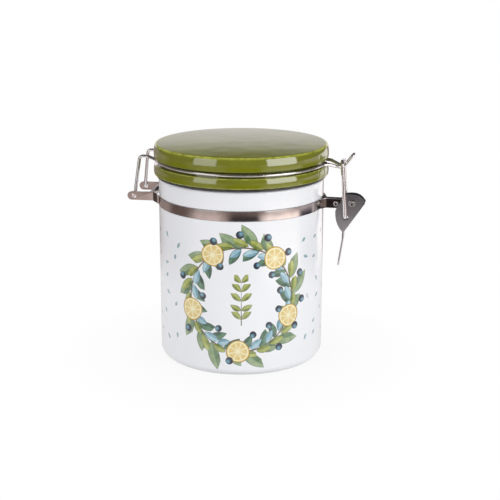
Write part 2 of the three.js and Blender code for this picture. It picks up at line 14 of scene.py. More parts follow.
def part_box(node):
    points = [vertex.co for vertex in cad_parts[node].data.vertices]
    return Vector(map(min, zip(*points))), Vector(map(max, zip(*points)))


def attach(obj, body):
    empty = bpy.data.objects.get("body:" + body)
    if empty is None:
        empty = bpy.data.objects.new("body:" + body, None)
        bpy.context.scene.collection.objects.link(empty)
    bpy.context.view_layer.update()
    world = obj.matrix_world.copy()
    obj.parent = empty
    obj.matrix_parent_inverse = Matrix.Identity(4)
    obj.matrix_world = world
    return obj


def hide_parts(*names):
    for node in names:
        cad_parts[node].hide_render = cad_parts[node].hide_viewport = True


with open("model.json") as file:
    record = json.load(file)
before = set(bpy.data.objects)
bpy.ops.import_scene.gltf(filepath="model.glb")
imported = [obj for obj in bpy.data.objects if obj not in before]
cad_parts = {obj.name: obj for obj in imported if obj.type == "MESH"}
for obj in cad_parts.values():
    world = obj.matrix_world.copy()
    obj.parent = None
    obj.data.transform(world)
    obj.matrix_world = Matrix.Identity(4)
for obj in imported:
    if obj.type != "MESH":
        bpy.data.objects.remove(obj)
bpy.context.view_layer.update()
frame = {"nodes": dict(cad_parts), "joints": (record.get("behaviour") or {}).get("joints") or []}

MM = 0.001
TAU = 2 * math.pi

# Camera, as fitted to the photograph
CAMERA_AZIMUTH = math.radians(10)
CAMERA_DISTANCE = 705.1 * MM
CAMERA_HEIGHT = 258.9 * MM
CAMERA_PITCH = math.radians(15.45)
CAMERA_LENS = 85.43
CAMERA_SENSOR = 36
CAMERA_SHIFT = 0.0174
CAMERA_NEAR = 10 * MM

# Sizes shared by several pieces, and how finely they are drawn
SEAT_GAP = 0.3 * MM
SHEET = 0.8 * MM
SHEET_EDGE = SHEET / 6
SHEET_EDGE_STEPS = 2
WIRE_RADIUS = 1 * MM
WIRE_ROUNDNESS = 8
TURN_SIDES = 192
ARC_STEP = math.radians(6)
RING_STEP = ARC_STEP / 3
CROWN_STEPS = 12
SHARP_ANGLE = math.radians(32)
FLAT_ANGLE = math.radians(0.3)
WELD_DISTANCE = MM / 1000

# Jar body
BODY_WALL = 4.5 * MM
FLOOR_THICKNESS = 5 * MM
BASE_FILLET = 4.8 * MM
INNER_FILLET = 6 * MM
RIM_FILLET = 1.5 * MM
BAND_WIDTH = 5.6 * MM
BAND_BELOW_RIM = 14.1 * MM
BAND_SEAT_DEPTH = 0.8 * MM
SEAT_FILLET = 0.25 * MM

# Lid
LOWER_FLANGE_HEIGHT = 6.1 * MM
GROOVE_WIDTH = 3.6 * MM
GROOVE_DEPTH = 3.3 * MM
CROWN_RISE = 0.8 * MM
LID_EDGE_FILLET = 1.3 * MM
FLANGE_FILLET = 0.6 * MM
RIM_LEAN = math.radians(18)
RIM_UNDERCUT = math.radians(10)
PLUG_DEPTH = 9.9 * MM
PLUG_TAPER = 1.2 * MM
PLUG_WALL = 6.1 * MM
PLUG_FILLET = 1.4 * MM
PLUG_CLEARANCE = 2.9 * MM
LID_HOLLOW_FILLET = 5 * MM
LID_CROWN_THICKNESS = 6.2 * MM
GASKET_EDGE = 0.5 * MM

# Rivets
TAB_GAP = 3.6 * MM
CLAMP_SHANK_RADIUS = 0.9 * MM
PIVOT_SHANK_RADIUS = 1.1 * MM
RIVET_TUBE_WALL = 0.5 * MM
RIVET_HEAD_THICKNESS = 0.5 * MM
RIVET_MOUTH_FLARE = 0.35 * MM

# Wires
BEND_RADIUS = 2.4 * MM
PIN_BEND_RADIUS = 1.3 * MM
RING_BEND_RADIUS = 4.8 * MM
EAR_SPACING = 28.6 * MM
PIN_END = 0.2 * MM
LEG_TOP_SPACING = 20.4 * MM
LEG_TOP_STANDOFF = 10.4 * MM
LEG_RISE = 1.9 * MM
HINGE_RUN = 5.2 * MM
RING_ENTRY_ANGLE = math.radians(24)
RING_ENTRY_RUN = 6 * MM
RING_RISE = 0.9 * MM
NOSE_ANGLE = math.radians(14)
NOSE_ENTRY_RUN = 3 * MM
NOSE_SPREAD = 3.4 * MM
NOSE_SILL_REACH = 1 * MM
NOSE_DROP = 1.9 * MM
NOSE_FLAT_START = 6.4 * MM
NOSE_DIP_REACH = 9.7 * MM
NOSE_TIP_REACH = 5.3 * MM
NOSE_TIP_RISE = 7.2 * MM
NOSE_TIP_FLAT = 0.05 * MM
LOOP_REACH = 8.7 * MM
LOOP_SLACK = 1.7 * MM
LOOP_SPLAY = 1 * MM

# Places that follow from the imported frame
_, jar_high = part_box("jar_body")
lid_low, lid_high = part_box("lid")
gasket_low, gasket_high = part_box("gasket")
lever_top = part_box("latch_lever")[1].z
joint_place = {joint["name"]: Vector(joint["pos_m"]) for joint in frame["joints"]}
body_radius = jar_high.x
rim_height = jar_high.z
lid_radius = lid_high.x
lid_top = lid_high.z
lid_edge = lid_top - CROWN_RISE
flange_low = lid_low.z + PLUG_DEPTH
groove_low = flange_low + LOWER_FLANGE_HEIGHT
groove_high = groove_low + GROOVE_WIDTH
groove_radius = lid_radius - GROOVE_DEPTH
plug_radius = body_radius - BODY_WALL - PLUG_CLEARANCE
ring_radius = groove_radius + SEAT_GAP + WIRE_RADIUS
ring_height = groove_low + SEAT_GAP + WIRE_RADIUS
nose_dip_height = ring_height - NOSE_DROP
band_height = rim_height - BAND_BELOW_RIM
tab_face = TAB_GAP / 2 + SHEET
cheek_face = tab_face + SEAT_GAP + SHEET


# Profiles and routes

def arc(centre_x, centre_y, radius, start, end):
    """Points of an arc from one angle to another, both ends included."""
    steps = max(2, math.ceil(abs(end - start) / ARC_STEP))
    angles = [start + (end - start) * i / steps for i in range(steps + 1)]
    return [(centre_x + radius * math.cos(a), centre_y + radius * math.sin(a)) for a in angles]


def quarter(centre_x, centre_y, radius, start_quarter, end_quarter):
    return arc(centre_x, centre_y, radius, start_quarter * TAU / 4, end_quarter * TAU / 4)


def bulged_rim(low, high, high_fillet):
    """The rim of a flange: a gently bulged wall between two rounded edges."""
    under = math.sin(RIM_UNDERCUT)
    lean = math.sin(RIM_LEAN)
    straight = high - low - high_fillet * (1 - lean) - FLANGE_FILLET * (1 - under)
    bulge = straight / (lean + under)
    centre_x = lid_radius - bulge
    centre_z = low + FLANGE_FILLET + (bulge - FLANGE_FILLET) * under
    low_reach = bulge - FLANGE_FILLET
    high_reach = bulge - high_fillet
    low_x = centre_x + low_reach * math.cos(RIM_UNDERCUT)
    high_x = centre_x + high_reach * math.cos(RIM_LEAN)
    return [
        *arc(low_x, centre_z - low_reach * under, FLANGE_FILLET, -TAU / 4, -RIM_UNDERCUT),
        *arc(centre_x, centre_z, bulge, -RIM_UNDERCUT, RIM_LEAN)[1:-1],
        *arc(high_x, centre_z + high_reach * lean, high_fillet, RIM_LEAN, TAU / 4),
    ]


def jar_profile():
    inner = body_radius - BODY_WALL
    seat = body_radius - BAND_SEAT_DEPTH
    seat_low = band_height - BAND_WIDTH / 2 - SEAT_GAP
    seat_high = band_height + BAND_WIDTH / 2 + SEAT_GAP
    lip = SEAT_FILLET
    return [
        (0, 0),
        *quarter(body_radius - BASE_FILLET, BASE_FILLET, BASE_FILLET, -1, 0),
        *quarter(body_radius - lip, seat_low - lip, lip, 0, 1),
        (seat, seat_low),
        (seat, seat_high),
        *quarter(body_radius - lip, seat_high + lip, lip, -1, 0),
        *quarter(body_radius - RIM_FILLET, rim_height - RIM_FILLET, RIM_FILLET, 0, 1),
        *quarter(inner + RIM_FILLET, rim_height - RIM_FILLET, RIM_FILLET, 1, 2),
        *quarter(inner - INNER_FILLET, FLOOR_THICKNESS + INNER_FILLET, INNER_FILLET, 0, -1),
        (0, FLOOR_THICKNESS),
    ]


def lid_profile():
    plug_low = lid_low.z
    plug_foot = plug_radius - PLUG_TAPER
    ceiling = lid_top - LID_CROWN_THICKNESS
    hollow = plug_radius - PLUG_WALL
    upper_rim = bulged_rim(groove_high, lid_edge, LID_EDGE_FILLET)
    crown_start = upper_rim[-1][0]
    crown_radius = (crown_start ** 2 + CROWN_RISE ** 2) / (2 * CROWN_RISE)
    crown = []
    for step in range(1, CROWN_STEPS + 1):
        reach = crown_start * (1 - step / CROWN_STEPS)
        crown.append((reach, lid_top - crown_radius + math.sqrt(crown_radius ** 2 - reach ** 2)))
    return [
        (0, ceiling),
        *quarter(hollow - LID_HOLLOW_FILLET, ceiling - LID_HOLLOW_FILLET, LID_HOLLOW_FILLET, 1, 0),
        *quarter(hollow + PLUG_FILLET, plug_low + PLUG_FILLET, PLUG_FILLET, 2, 3),
        *quarter(plug_foot - PLUG_FILLET, plug_low + PLUG_FILLET, PLUG_FILLET, -1, 0),
        (plug_radius, flange_low),
        *bulged_rim(flange_low, groove_low, FLANGE_FILLET),
        (groove_radius, groove_low),
        (groove_radius, groove_high),
        *upper_rim,
        *crown,
    ]


def gasket_profile():
    inner = plug_radius + SEAT_GAP
    outer = gasket_high.x - GASKET_EDGE
    low, high = gasket_low.z, gasket_high.z
    return [
        (inner, low),
        *quarter(outer, low + GASKET_EDGE, GASKET_EDGE, -1, 0),
        *quarter(outer, high - GASKET_EDGE, GASKET_EDGE, 0, 1),
        (inner, high),
        (inner, low),
    ]


def rivet_profile(face, shank, head):
    """Half an eyelet from its middle outwards and its mirror image, as one closed outline."""
    bore = shank - RIVET_TUBE_WALL
    seat = face + SEAT_GAP
    roll = RIVET_HEAD_THICKNESS / 2
    shoulder = TAB_GAP / 2 - SEAT_GAP
    flare = RIVET_MOUTH_FLARE
    mouth = bore + flare
    half = [
        (shank + RIVET_TUBE_WALL, shoulder),
        (shank, shoulder),
        (shank, seat),
        *quarter(head - roll, seat + roll, roll, -1, 1),
        *quarter(mouth + flare, seat + RIVET_HEAD_THICKNESS - flare, flare, 1, 2),
        (bore, shoulder),
    ]
    mirrored = [(radius, -height) for radius, height in reversed(half)]
    return [*half, *mirrored, half[0]]


def bent_route(corners):
    """A wire's centre line: straight runs, with an arc at each corner that has a bend radius."""
    route = []
    for index, (place, bend) in enumerate(corners):
        if not bend:
            route.append(place)
            continue
        back = (corners[index - 1][0] - place).normalized()
        ahead = (corners[index + 1][0] - place).normalized()
        inside = back.angle(ahead)
        centre = place + (back + ahead).normalized() * (bend / math.sin(inside / 2))
        spoke = place + back * (bend / math.tan(inside / 2)) - centre
        axis = back.cross(ahead).normalized()
        turn = math.pi - inside
        steps = max(2, math.ceil(turn / ARC_STEP))
        for step in range(steps + 1):
            route.append(centre + Matrix.Rotation(-turn * step / steps, 3, axis) @ spoke)
    return route


def mirrored_route(half):
    return half + [Vector((p.x, -p.y, p.z)) for p in reversed(half)]


def bail_route():
    """Pins in the ears, legs, a run to the groove, the ring round the lid and the hooked nose."""
    hinge = joint_place["lid_hinge"]
    ear_face = EAR_SPACING / 2 - SHEET / 2
    pin_y = ear_face + SHEET + PIN_END
    foot_y = ear_face - SEAT_GAP - WIRE_RADIUS
    leg_x = -(body_radius + LEG_TOP_STANDOFF)
    leg_y = LEG_TOP_SPACING / 2
    leg_z = ring_height + LEG_RISE
    start = -math.pi + RING_ENTRY_ANGLE
    end = -NOSE_ANGLE

    def on_ring(angle, ahead=0):
        height = ring_height + RING_RISE * (1 - math.cos(angle)) / 2
        spot = Vector((ring_radius * math.cos(angle), ring_radius * math.sin(angle), height))
        return spot + ahead * Vector((-math.sin(angle), math.cos(angle), 0))

    leaving = on_ring(end, NOSE_ENTRY_RUN)
    nose_y = NOSE_SPREAD / 2
    sill_x = lid_radius + NOSE_SILL_REACH
    flat_x = lid_radius + NOSE_FLAT_START
    dip_x = lid_radius + NOSE_DIP_REACH
    tip_x = dip_x + NOSE_TIP_REACH
    tip_z = nose_dip_height + NOSE_TIP_RISE

    def nose_width(x):
        return -leaving.y + (nose_y + leaving.y) * (x - leaving.x) / (dip_x - leaving.x)

    steps = math.ceil((end - start) / RING_STEP)
    ring = [(on_ring(start + (end - start) * i / steps), 0) for i in range(steps + 1)]
    half = bent_route([
        (Vector((hinge.x, -pin_y, hinge.z)), 0),
        (Vector((hinge.x, -foot_y, hinge.z)), PIN_BEND_RADIUS),
        (Vector((leg_x, -leg_y, leg_z)), BEND_RADIUS),
        (Vector((leg_x + HINGE_RUN, -leg_y, leg_z)), BEND_RADIUS),
        (on_ring(start, -RING_ENTRY_RUN), RING_BEND_RADIUS),
        *ring,
        (leaving, RING_BEND_RADIUS),
        (Vector((sill_x, -nose_width(sill_x), ring_height)), BEND_RADIUS),
        (Vector((flat_x, -nose_width(flat_x), nose_dip_height)), BEND_RADIUS),
        (Vector((dip_x, -nose_y, nose_dip_height)), BEND_RADIUS),
        (Vector((tip_x, -nose_y, tip_z)), nose_y - NOSE_TIP_FLAT),
        (Vector((tip_x, 0, tip_z)), 0),
    ])
    return mirrored_route(half[:-1])


def loop_route():
    """Ends turned into the lever's cheeks, two legs and a crossbar over the bail's nose."""
    hole = joint_place["loop_pivot"]
    leg_y = cheek_face + SEAT_GAP + RIVET_HEAD_THICKNESS + SEAT_GAP + WIRE_RADIUS
    pin_y = cheek_face - SHEET
    bar_x = lid_radius + LOOP_REACH
    bar_z = nose_dip_height + 2 * WIRE_RADIUS + LOOP_SLACK
    half = bent_route([
        (Vector((hole.x, -pin_y, hole.z)), 0),
        (Vector((hole.x, -leg_y, hole.z)), PIN_BEND_RADIUS),
        (Vector((bar_x, -leg_y - LOOP_SPLAY, bar_z)), BEND_RADIUS),
        (Vector((bar_x, 0, bar_z)), 0),
    ])
    return mirrored_route(half[:-1])


# Pieces

def add_piece(name, data, node, body, material):
    """Puts a new piece in the scene in place of a CAD node."""
    piece = bpy.data.objects.new(name, data)
    bpy.context.scene.collection.objects.link(piece)
    data.materials.clear()
    data.materials.append(material)
    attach(piece, body)
    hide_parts(node)
    return piece


def turned_mesh(name, profile, place=Matrix.Identity(4)):
    """A smooth body of revolution about Z from radius and height points."""
    points = [p for i, p in enumerate(profile) if i == 0 or math.dist(p, profile[i - 1]) > WELD_DISTANCE]
    rings = []
    vertices = []
    for radius, height in points:
        if radius == 0:
            rings.append([len(vertices)] * TURN_SIDES)
            vertices.append((0, 0, height))
            continue
        rings.append(list(range(len(vertices), len(vertices) + TURN_SIDES)))
        for side in range(TURN_SIDES):
            angle = TAU * side / TURN_SIDES
            vertices.append((radius * math.cos(angle), radius * math.sin(angle), height))
    if points[0] == points[-1]:
        del vertices[rings[-1][0]:]
        rings[-1] = rings[0]
    faces = []
    for lower, upper in zip(rings, rings[1:]):
        for side in range(TURN_SIDES):
            ahead = (side + 1) % TURN_SIDES
            corners = [lower[side], lower[ahead], upper[ahead], upper[side]]
            faces.append(list(dict.fromkeys(corners)))
    mesh = bpy.data.meshes.new(name)
    mesh.from_pydata(vertices, [], faces)
    mesh.transform(place)
    smooth(mesh)
    return mesh


def add_turned_piece(name, profile, node, body, material):
    add_piece(name, turned_mesh(name, profile), node, body, material)


def smooth(mesh):
    mesh.polygons.foreach_set("use_smooth", [True] * len(mesh.polygons))
    mesh.set_sharp_from_angle(angle=SHARP_ANGLE)
    mesh.update()


def wire_curve(name, route):
    curve = bpy.data.curves.new(name, "CURVE")
    curve.dimensions = "3D"
    curve.bevel_depth = WIRE_RADIUS
    curve.bevel_resolution = WIRE_ROUNDNESS
    curve.use_fill_caps = True
    spline = curve.splines.new("POLY")
    spline.points.add(len(route) - 1)
    for spot, place in zip(spline.points, route):
        spot.co = (*place, 1)
    return curve


def add_wire_piece(name, route, node, body, material):
    add_piece(name, wire_curve(name, route), node, body, material)


def weld(mesh):
    """Joins loose triangles along their edges and merges the flat ones."""
    form = bmesh.new()
    form.from_mesh(mesh)
    bmesh.ops.remove_doubles(form, verts=form.verts, dist=WELD_DISTANCE)
    bmesh.ops.dissolve_limit(form, angle_limit=FLAT_ANGLE, verts=form.verts, edges=form.edges)
    form.to_mesh(mesh)
    form.free()


def add_sheet_piece(name, node, body, material):
    """A stamped sheet part: the CAD form with the soft edges that a press and a tumbler leave."""
    mesh = frame["nodes"][node].data.copy()
    mesh.name = name
    weld(mesh)
    smooth(mesh)
    piece = add_piece(name, mesh, node, body, material)
    edges = piece.modifiers.new("edges", "BEVEL")
    edges.width = SHEET_EDGE
    edges.segments = SHEET_EDGE_STEPS
    edges.limit_method = "ANGLE"
    edges.angle_limit = SHARP_ANGLE
    normals = piece.modifiers.new("normals", "WEIGHTED_NORMAL")
    normals.keep_sharp = True


def add_rivet(name, node, face, shank, material_name):
    """A hollow rivet that lies along Y, with its heads outside two faces."""
    low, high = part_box(node)
    centre = (low + high) / 2
    head = (high.z - low.z) / 2
    place = Matrix.Translation(centre) @ Matrix.Rotation(-math.pi / 2, 4, "X")
    mesh = turned_mesh(name, rivet_profile(face, shank, head), place)
    add_piece(name, mesh, node, "jar", rivet_steel(material_name, centre, shank))


# Node trees with ordinary arithmetic

class Field:
    """A number that varies over a surface: one output in a node tree."""

    def __init__(self, tree, socket):
        self.tree = tree
        self.socket = socket

    def call(self, operation, *others):
        node = self.tree.nodes.new("ShaderNodeMath")
        node.operation = operation
        for slot, value in zip(node.inputs, (self, *others)):
            plug(self.tree, slot, value)
        return Field(self.tree, node.outputs[0])

    def __add__(self, other):
        return self.call("ADD", other)

    def __sub__(self, other):
        return self.call("SUBTRACT", other)

    def __mul__(self, other):
        return self.call("MULTIPLY", other)

    def __truediv__(self, other):
        return self.call("DIVIDE", other)

    def __abs__(self):
        return self.call("ABSOLUTE")

    def __neg__(self):
        return self * -1

    def flipped(self):
        return self * -1 + 1

    def between(self, low, high):
        """low at 0 and high at 1."""
        return self * (high - low) + low

    def over(self, low, high):
        """0 below low, 1 above high and a straight ramp between; high may be the lower one."""
        node = self.tree.nodes.new("ShaderNodeMapRange")
        plug(self.tree, node.inputs["Value"], self)
        node.inputs["From Min"].default_value = low
        node.inputs["From Max"].default_value = high
        return Field(self.tree, node.outputs["Result"])

    def chance(self, seed):
        """A fixed random number between 0 and 1 for each value."""
        node = self.tree.nodes.new("ShaderNodeTexWhiteNoise")
        node.noise_dimensions = "1D"
        plug(self.tree, node.inputs["W"], self + seed)
        return Field(self.tree, node.outputs["Value"])


def plug(tree, slot, value):
    if isinstance(value, Field):
        tree.links.new(value.socket, slot)
    elif isinstance(value, bpy.types.NodeSocket):
        tree.links.new(value, slot)
    elif isinstance(value, tuple):
        slot.default_value = (*value, 1)
    else:
        slot.default_value = value


def length_of(a, b):
    return (a * a + b * b).call("SQRT")


def blended(tree, share, under, over):
    """A colour between two others."""
    node = tree.nodes.new("ShaderNodeMix")
    node.data_type = "RGBA"
    plug(tree, node.inputs["Factor"], share)
    plug(tree, node.inputs[6], under)
    plug(tree, node.inputs[7], over)
    return node.outputs[2]


def new_material(name):
    material = bpy.data.materials.new(name)
    material.use_nodes = True
    tree = material.node_tree
    return material, tree, tree.nodes["Principled BSDF"]


def object_place(tree):
    """The place on the piece, in metres, as a vector socket and its three parts."""
    node = tree.nodes.new("ShaderNodeTexCoord")
    parts = tree.nodes.new("ShaderNodeSeparateXYZ")
    tree.links.new(node.outputs["Object"], parts.inputs[0])
    return node.outputs["Object"], [Field(tree, parts.outputs[i]) for i in range(3)]


def noise(tree, vector, per_metre, detail, stretch=(1, 1, 1)):
    """Smooth noise between 0 and 1 with the given number of lumps in a metre."""
    scaled = tree.nodes.new("ShaderNodeMapping")
    scaled.inputs["Scale"].default_value = [per_metre * s for s in stretch]
    tree.links.new(vector, scaled.inputs["Vector"])
    node = tree.nodes.new("ShaderNodeTexNoise")
    node.inputs["Scale"].default_value = 1
    node.inputs["Detail"].default_value = detail
    tree.links.new(scaled.outputs[0], node.inputs["Vector"])
    return Field(tree, node.outputs["Fac"])


def add_bump(tree, shader, height, distance, strength):
    node = tree.nodes.new("ShaderNodeBump")
    node.inputs["Strength"].default_value = strength
    node.inputs["Distance"].default_value = distance
    plug(tree, node.inputs["Height"], height)
    tree.links.new(node.outputs["Normal"], shader.inputs["Normal"])


# The printed decal: a wreath of laurel leaves, lemon slices and bilberries, all sizes in millimetres.
# A pair of numbers is a ramp, here and below: nothing at the first one, all at the second.

PRINT_CENTRE = -math.pi / 2 + CAMERA_AZIMUTH
PRINT_REPEATS = 2
PRINT_MARGIN = (4, 4.2)
PRINT_DEPTH = (0.6, 0.4)
PAPER_WHITE = (0.845, 0.855, 0.875)

INK = (0.035, 0.045, 0.04)
INK_EDGES = (0.448, 0.196)
INK_STRENGTH = 0.8
INK_SOFTNESS = 0.12

WREATH_HEIGHT = 47.5
WREATH_RADIUS = 31.5
WREATH_STEM = (0.5, 0.35)
STEM_BROWN = (0.13, 0.09, 0.04)

LEAF_SPREAD = 0.5
LEAF_LENGTHS = (0.75, 1.1)
LEAF_CURL = 0.5
LEAF_BELLY = 4.6
LEAF_POINT = 1.6
LEAF_FOLD = 0.15
LEAF_RIB = (0.26, 0.12)
LEAF_RIB_END = (1.0, 0.75)
LEAF_RIB_STRENGTH = 0.7
LEAF_SHADE = {"side": 0.5, "share": 0.4, "chance": 0.25, "wash": 1.1, "start": 0.1}
LEAF_TONES = {
    "sage": ((0.075, 0.16, 0.075), (0.33, 0.43, 0.24)),
    "olive": ((0.13, 0.18, 0.025), (0.46, 0.50, 0.14)),
    "deep": ((0.018, 0.06, 0.036), (0.13, 0.26, 0.15)),
    "mist": ((0.12, 0.29, 0.38), (0.45, 0.64, 0.70)),
}
LEAF_RINGS = [
    {"count": 20, "offset": 0.5, "seed": 1.0, "radius": 31.5, "start": 0.42, "length": 16.5, "width": 3.2,
     "tilt": 0.75, "tones": "sage"},
    {"count": 18, "offset": 0.1, "seed": 2.0, "radius": 31.5, "start": 0.42, "length": 15.0, "width": 3.0,
     "tilt": -0.75, "tones": "deep"},
    {"count": 23, "offset": 0.3, "seed": 4.0, "radius": 32.5, "start": 0.45, "length": 12.0, "width": 2.5,
     "tilt": 0.35, "tones": "olive"},
    {"count": 19, "offset": 0.8, "seed": 6.0, "radius": 30.5, "start": 0.45, "length": 11.5, "width": 2.4,
     "tilt": -0.3, "tones": "mist"},
]

LEMONS = {"count": 5, "offset": 0.3, "seed": 5.0, "radius": 31.5, "size": 7.0, "wedges": 8}
LEMON_RIND = (0.66, 0.40, 0.02)
LEMON_PITH = (0.86, 0.80, 0.52)
LEMON_FLESH = (0.66, 0.42, 0.04)
LEMON_WEDGE_SIDE = (0.44, 0.37)
LEMON_WEDGE_END = (0.78, 0.74)
LEMON_CORE = (0.14, 0.22)
LEMON_RIND_START = (0.86, 0.9)
LEMON_SHADE = (0.1, 0.8)
LEMON_SHADE_STRENGTH = 0.5
LEMON_WASH_STRENGTH = 0.6

BERRY_RINGS = [
    {"count": 15, "offset": 0.2, "seed": 7.0, "radius": 39.5, "size": 2.4, "scatter": 3.0, "share": 0.75},
    {"count": 13, "offset": 0.6, "seed": 9.0, "radius": 23.5, "size": 2.2, "scatter": 2.5, "share": 0.7},
]
BERRY_DARK = (0.010, 0.017, 0.035)
BERRY_BLOOM = (0.17, 0.36, 0.46)
BERRY_STEP = 0.01
BERRY_GLINT_OFFSET = 0.3
BERRY_GLINT_RIM = 0.75
BERRY_GLINT_CORE = 0.15

CENTRE_SPRIG = {
    "foot": 35.0,
    "step": 5.6,
    "pairs": 5,
    "seed": 2.5,
    "length": 9.5,
    "width": 1.9,
    "tilt": 0.7,
    "taper": 0.7,
    "leaf_start": 0.12,
    "tip": 0.98,
    "stem": (0.34, 0.22),
    "stem_foot": (-3.0, -2.8),
    "tones": "olive",
}

CONFETTI_COLUMNS = 26
CONFETTI_SCATTER = 6.5
CONFETTI_LENGTH = 4.4
CONFETTI_WIDTH = 1.0
CONFETTI_FROM_WREATH = (45, 45.1)
CONFETTI_LOW = (9, 9.1)
CONFETTI_HIGH = (85.1, 85)
CONFETTI_DRAWS = [
    {"column": 17.0, "row": 5.3, "seed": 3.0},
    {"column": 7.7, "row": 23.0, "seed": 8.0},
]


def leaf(along, across, chance, length, width, tilt):
    """One leaf from the origin of its cell: the room to its edge, the share along it and the side."""
    lean = (chance - 0.5) * LEAF_SPREAD + tilt
    cosine = lean.call("COSINE")
    sine = lean.call("SINE")
    reach = along * cosine + across * sine
    side = across * cosine - along * sine
    share = reach / chance.between(*LEAF_LENGTHS) / length
    side = side + share * share.flipped() * (width * LEAF_CURL)
    within = share.call("MINIMUM", 1)
    half_width = within * within.flipped() * (within * -LEAF_POINT + LEAF_BELLY) * width
    return half_width - abs(side), share, side


def leaf_colour(tree, tones, share, side, chance, wash):
    """Two halves with a fold between them, washed unevenly, and a pale rib."""
    dark, light = LEAF_TONES[tones]
    shade = side.over(-LEAF_FOLD, LEAF_FOLD) * LEAF_SHADE["side"] + share * LEAF_SHADE["share"]
    shade = shade + chance * LEAF_SHADE["chance"] + (wash - 0.5) * LEAF_SHADE["wash"] - LEAF_SHADE["start"]
    body = blended(tree, shade.over(0, 1), dark, light)
    rib = abs(side).over(*LEAF_RIB) * share.over(*LEAF_RIB_END)
    return blended(tree, rib * LEAF_RIB_STRENGTH, body, light)


def ink_outline(tree, colour, room):
    """Darkens a strip just inside a shape's edge."""
    return blended(tree, room.over(*INK_EDGES) * INK_STRENGTH, colour, INK)


def round_cells(angle, ring):
    """Equal cells round a circle: the place within a cell, -0.5 to 0.5, and the cell's own chance."""
    turn = angle * (ring["count"] / TAU) + ring["offset"]
    cell = turn.call("ROUND")
    number = cell.call("FLOORED_MODULO", ring["count"])
    return turn - cell, number.chance(ring["seed"])


def cell_length(ring):
    return TAU * ring["radius"] / ring["count"]


def add_leaf_ring(tree, picture, radius, angle, ring, wash):
    place, chance = round_cells(angle, ring)
    along = (place + ring["start"]) * cell_length(ring)
    across = radius - ring["radius"]
    room, share, side = leaf(along, across, chance, ring["length"], ring["width"], ring["tilt"])
    colour = leaf_colour(tree, ring["tones"], share, side, chance, wash)
    colour = ink_outline(tree, colour, room)
    return blended(tree, room.over(0, INK_SOFTNESS), picture, colour)


def add_lemons(tree, picture, radius, angle, ring, wash):
    place, chance = round_cells(angle, ring)
    along = place * cell_length(ring)
    across = radius - ring["radius"]
    reach = length_of(along, across) / ring["size"]
    turn = across.call("ARCTAN2", along) * (ring["wedges"] / TAU) + chance
    wedge = abs(turn - turn.call("FLOOR") - 0.5)
    flesh = wedge.over(*LEMON_WEDGE_SIDE) * reach.over(*LEMON_WEDGE_END) * reach.over(*LEMON_CORE)
    shade = reach.over(*LEMON_SHADE) * LEMON_SHADE_STRENGTH + wash * LEMON_WASH_STRENGTH
    shaded = blended(tree, shade, LEMON_PITH, LEMON_FLESH)
    colour = blended(tree, reach.over(*LEMON_RIND_START), LEMON_PITH, LEMON_RIND)
    colour = blended(tree, flesh, colour, shaded)
    room = reach.flipped() * ring["size"]
    colour = ink_outline(tree, colour, room)
    return blended(tree, room.over(0, INK_SOFTNESS), picture, colour)


def add_berries(tree, picture, radius, angle, ring):
    """Berries in a share of the cells, each with a paler bloom on one side."""
    place, chance = round_cells(angle, ring)
    along = place * cell_length(ring)
    across = radius - ring["radius"] - (chance - 0.5) * ring["scatter"]
    size = ring["size"]
    present = chance.over(ring["share"] + BERRY_STEP, ring["share"])
    room = (length_of(along, across) * -1 + size) * present
    offset = size * BERRY_GLINT_OFFSET
    glint = length_of(along + offset, across - offset).over(size * BERRY_GLINT_RIM, size * BERRY_GLINT_CORE)
    colour = blended(tree, glint, BERRY_DARK, BERRY_BLOOM)
    return blended(tree, room.over(0, INK_SOFTNESS), picture, colour)


def add_sprig(tree, picture, across, height, sprig, wash):
    """A straight stem with pairs of leaves that get shorter towards its tip."""
    pairs = sprig["pairs"]
    rise = height - sprig["foot"]
    place = rise / sprig["step"]
    cell = place.call("FLOOR")
    from_first = cell.over(-0.6, -0.4)
    to_last = cell.over(pairs - 0.4, pairs - 0.6)
    chance = cell.chance(sprig["seed"])
    taper = cell * (-sprig["taper"] / pairs) + 1
    up = (place - cell - sprig["leaf_start"]) * sprig["step"]
    out = abs(across)
    room, share, side = leaf(out, up, chance, sprig["length"], sprig["width"], sprig["tilt"])
    tip = (out / taper).over(sprig["length"], sprig["length"] * sprig["tip"])
    stem = out.over(*sprig["stem"]) * rise.over(*sprig["stem_foot"]) * rise.over(sprig["step"] * pairs, 0)
    picture = blended(tree, stem, picture, STEM_BROWN)
    colour = leaf_colour(tree, sprig["tones"], share, side, chance, wash)
    colour = ink_outline(tree, colour, room)
    return blended(tree, room.over(0, INK_SOFTNESS) * (from_first * to_last) * tip, picture, colour)


def add_confetti(tree, picture, round_jar, height, half_panel, wash):
    """Small single leaves scattered over the white between the wreaths, one in each cell of a grid."""
    pitch = 2 * half_panel * PRINT_REPEATS / CONFETTI_COLUMNS
    column = (round_jar / pitch).call("FLOOR")
    row = (height / pitch).call("FLOOR")
    chance, other = [
        (column * draw["column"] + row * draw["row"]).chance(draw["seed"]) for draw in CONFETTI_DRAWS
    ]
    centre_x = (column + 0.5) * pitch + (chance - 0.5) * CONFETTI_SCATTER
    centre_y = (row + 0.5) * pitch + (other - 0.5) * CONFETTI_SCATTER
    x = round_jar - centre_x
    y = height - centre_y
    cosine = (other * TAU).call("COSINE")
    sine = (other * TAU).call("SINE")
    along = x * cosine + y * sine + CONFETTI_LENGTH / 2
    aside = y * cosine - x * sine
    room, share, side = leaf(along, aside, chance, CONFETTI_LENGTH, CONFETTI_WIDTH, 0)
    colour = leaf_colour(tree, "mist", share, side, chance, wash)
    colour = ink_outline(tree, colour, room)
    from_wreath = length_of(centre_x.call("WRAP", half_panel, -half_panel), centre_y - WREATH_HEIGHT)
    present = from_wreath.over(*CONFETTI_FROM_WREATH)
    present = present * centre_y.over(*CONFETTI_LOW) * centre_y.over(*CONFETTI_HIGH)
    return blended(tree, room.over(0, INK_SOFTNESS) * present, picture, colour)


